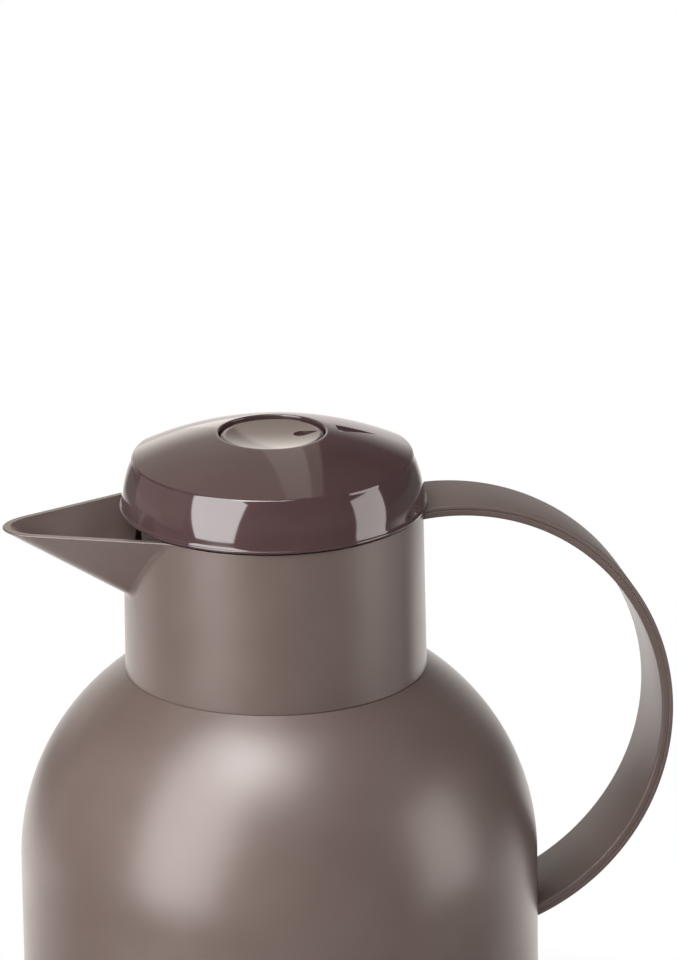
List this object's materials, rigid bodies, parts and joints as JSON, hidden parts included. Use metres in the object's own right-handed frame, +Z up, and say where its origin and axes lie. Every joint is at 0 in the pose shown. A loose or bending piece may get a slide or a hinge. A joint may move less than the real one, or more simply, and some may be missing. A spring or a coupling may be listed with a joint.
{
  "type": "insulated jug",
  "caption": "Insulated jug with a round domed body, straight neck, open beak, ring handle and a screw-in lid whose centre button opens the pouring valve.",
  "frame": {"origin": "on the axis of the round body, on the plane that it stands on", "axes": "+Z up along the axis of the body, +X towards the handle, -X towards the beak"},
  "size_m": [0.1703, 0.132, 0.2231],
  "materials": {
    "jacket_plastic": "satin",
    "lid_plastic": "gloss",
    "stopper_plastic": "satin",
    "valve_plastic": "satin",
    "silvered_glass": "gloss",
    "pad_fibre": "matt",
    "silicone": "matt",
    "foot_rubber": "matt",
    "spring_steel": "bright drawn"
  },
  "bodies": {
    "jug": {"body_jacket": "jacket_plastic", "neck_collar": "jacket_plastic", "handle_outer_strip": "jacket_plastic", "handle_inner_strip": "jacket_plastic", "outer_flask": "silvered_glass", "inner_flask": "silvered_glass", "flask_spacers": "pad_fibre", "mouth_gasket": "silicone", "base_plate": "jacket_plastic", "base_cushion": "foot_rubber", "foot_ring": "foot_rubber"},
    "seal_ring": {"stopper_seal": "silicone"},
    "closure": {"lid_cover": "lid_plastic", "stopper_body": "stopper_plastic", "stem_seal": "silicone", "return_spring": "spring_steel"},
    "plunger": {"push_button": "lid_plastic", "valve_stem": "valve_plastic", "valve_plate": "valve_plastic", "valve_seal": "silicone"}
  },
  "joints": [
    {"name": "closure_lift", "type": "slide", "parent": "jug", "child": "seal_ring", "axis": [0, 0, 1], "range_m": [0, 0.0481]},
    {"name": "closure_turn", "type": "hinge", "parent": "seal_ring", "child": "closure", "pos_m": [0, 0, 0.2], "axis": [0, 0, 1], "range_deg": [0, 1080]},
    {"name": "button_press", "type": "slide", "parent": "closure", "child": "plunger", "axis": [0, 0, -1], "range_m": [0, 0.0045], "stiffness_N_per_m": 600, "springref_m": -0.006, "deforming": ["return_spring"]}
  ],
  "couplings": [
    {"joint": "closure_lift", "follows": "closure_turn", "m_per_rad": 0.0025465}
  ]
}
